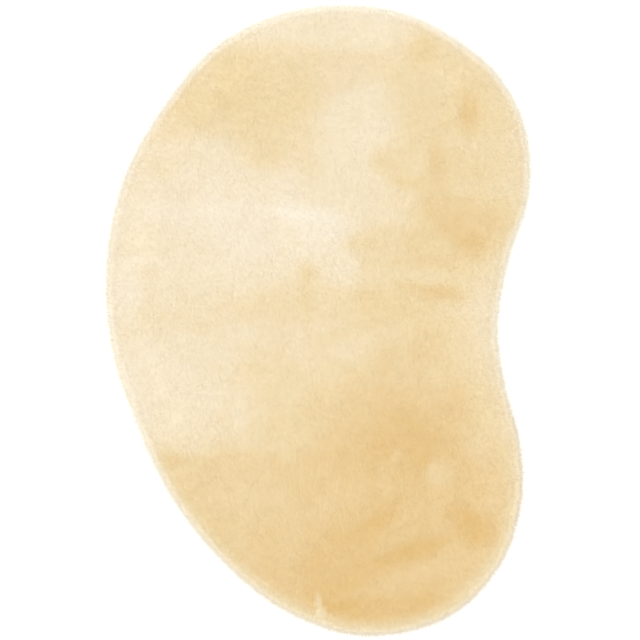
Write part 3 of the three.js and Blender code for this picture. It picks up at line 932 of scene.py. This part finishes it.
straightLock = modelLock(lockForm, False)
field = plantField(fieldLocks)
order = np.argsort(-field["root"][:, 1], kind="stable")
for bandName, chosen in zip(fieldLocks["bands"], np.array_split(order, len(fieldLocks["bands"]))):
    piece = growLocks(bandName, straightLock, pickLocks(field, chosen))
    print("%s: %d locks, %d faces" % (bandName, len(chosen), len(piece.data.polygons)))


# Rim locks fall outwards over the edge of the cloth. The lowest lie on the floor, and the
# highest run on from the field.

rimLocks = {
    "seed": 7,
    "count": 16500,
    "rootInset": (0.0005, 0.0160),  # in from the cloth's edge, for the lowest and the highest
    "tipInset": (-0.0260, -0.0070),  # the same: the tips lie out beyond it
    "lowestRoot": 0.0025,
    "lowestBend": 0.0060,
    "lowestTip": 0.0012,
    "rootDepth": 0.0030,  # below the pile's top
    "bendRise": 0.0016,  # above it, for the lowest
    "bendShare": 0.55,
    "riseStep": 0.618034,  # from one lock to the next: spreads low and high evenly round the edge
    "riseStart": -0.1,
    "riseEnds": (0.65, 0.45, 0.30),  # where roots, bends and tips come up to the pile's top
    "bendRange": (0.94, 1.03),
    "tipRange": (0.85, 1.05),
    "tipVary": 0.0050,
    "width": 0.0034,
    "widthRange": (0.7, 1.3),
    "depth": 0.0013,
    "sway": 0.28,
    "swayVary": 0.5,
    "swaySize": 0.03,
    "swaySeed": 9,
    "outwardFacing": 0.30,
    "softness": 0.92,
}


def plantRim(locks):
    rng = np.random.RandomState(locks["seed"])
    count = locks["count"]
    around = np.vstack([edgePlaces, edgePlaces[:1]])
    along = np.concatenate([[0], np.cumsum(np.hypot(*np.diff(around, axis=0).T))])
    stops = (np.arange(count) + rng.uniform(0, 1, count)) * along[-1] / count
    spot = np.stack([np.interp(stops, along, around[:, axis]) for axis in (0, 1)], axis=1)
    outward = edgeOutward[np.clip(np.searchsorted(along, stops) - 1, 0, len(edgePlaces) - 1)]
    sideways = np.stack([-outward[:, 1], outward[:, 0]], axis=1)
    drift = softNoise(spot[:, 0], spot[:, 1], locks["swaySize"], locks["swaySize"], locks["swaySeed"])
    sway = locks["sway"] * (rng.normal(0, locks["swayVary"], count) + drift)
    lean = outward + sideways * sway[:, None]
    lean /= np.linalg.norm(lean, axis=1, keepdims=True)
    rise = (np.arange(count) * locks["riseStep"]) % 1  # 0 for the lowest, 1 for the highest
    rootInset = mix(*locks["rootInset"], rise)
    tipInset = mix(*locks["tipInset"], rise) + locks["tipVary"] * rng.uniform(-1, 1, count)
    root = spot - outward * rootInset[:, None]
    tip = root + lean * (rootInset - tipInset)[:, None]
    bend = mix(root, tip, locks["bendShare"])

    def height(places, lowest, lift, riseEnd):
        top = readGrid(topGrid, places[:, 0], places[:, 1]) + lift
        return mix(lowest, top, smoothStep(rise, locks["riseStart"], riseEnd))

    rootEnd, bendEnd, tipEnd = locks["riseEnds"]
    rootHeight = height(root, locks["lowestRoot"], -locks["rootDepth"], rootEnd)
    bendHeight = height(bend, locks["lowestBend"], locks["bendRise"] * (1 - rise), bendEnd)
    tipHeight = height(tip, locks["lowestTip"], 0, tipEnd)
    outwardFacing = outward * (locks["outwardFacing"] * (1 - rise))[:, None]
    return {
        "root": np.column_stack([root, rootHeight]),
        "bend": np.column_stack([bend, bendHeight * rng.uniform(*locks["bendRange"], count)]),
        "tip": np.column_stack([tip, tipHeight * rng.uniform(*locks["tipRange"], count)]),
        "lean": lean,
        "turn": rng.uniform(0, 2 * math.pi, count),
        "width": locks["width"] * rng.uniform(*locks["widthRange"], count),
        "depth": np.full(count, locks["depth"]),
        "facing": np.column_stack([outwardFacing, np.ones(count)]),
        "softness": locks["softness"],
    }


rim = plantRim(rimLocks)
rimPiece = growLocks("rimLocks", modelLock(lockForm, True), rim)
print("rim locks: %d, %d faces" % (len(rim["root"]), len(rimPiece.data.polygons)))


# Floor and light

studio = {
    "floorSize": 14,
    "floorDrop": 0.0005,
    "floorColour": (0.04, 0.04, 0.04, 1),
    "floorGlow": 1.00,
    "domeStrength": 1.235,
    "keyStrength": 0.45,
    "keyAngle": math.radians(50),
    "keyTurn": (math.radians(38), 0, math.radians(-135)),
    "keyPlace": (-2, 2, 3),
}


def makeStudio(light):
    clearSelection()
    bpy.ops.mesh.primitive_plane_add(size=light["floorSize"], location=(0, 0, -light["floorDrop"]))
    floor = bpy.context.object
    floor.name = "studioFloor"
    material, nodes, links = newMaterial("paleFloor")
    shader = nodes["Principled BSDF"]
    shader.inputs["Base Color"].default_value = light["floorColour"]
    shader.inputs["Roughness"].default_value = 1
    shader.inputs["Specular IOR Level"].default_value = 0
    shader.inputs["Emission Color"].default_value = (1, 1, 1, 1)
    shader.inputs["Emission Strength"].default_value = light["floorGlow"]
    floor.data.materials.append(material)
    world = bpy.data.worlds.new("softDome")
    world.use_nodes = True
    background = world.node_tree.nodes["Background"]
    background.inputs["Color"].default_value = (1, 1, 1, 1)
    background.inputs["Strength"].default_value = light["domeStrength"]
    bpy.context.scene.world = world
    bpy.ops.object.light_add(type="SUN", location=light["keyPlace"], rotation=light["keyTurn"])
    key = bpy.context.object
    key.data.energy = light["keyStrength"]
    key.data.angle = light["keyAngle"]
    bpy.context.scene.view_settings.view_transform = "Standard"
    bpy.context.scene.view_settings.look = "None"


makeStudio(studio)
print("studio set")
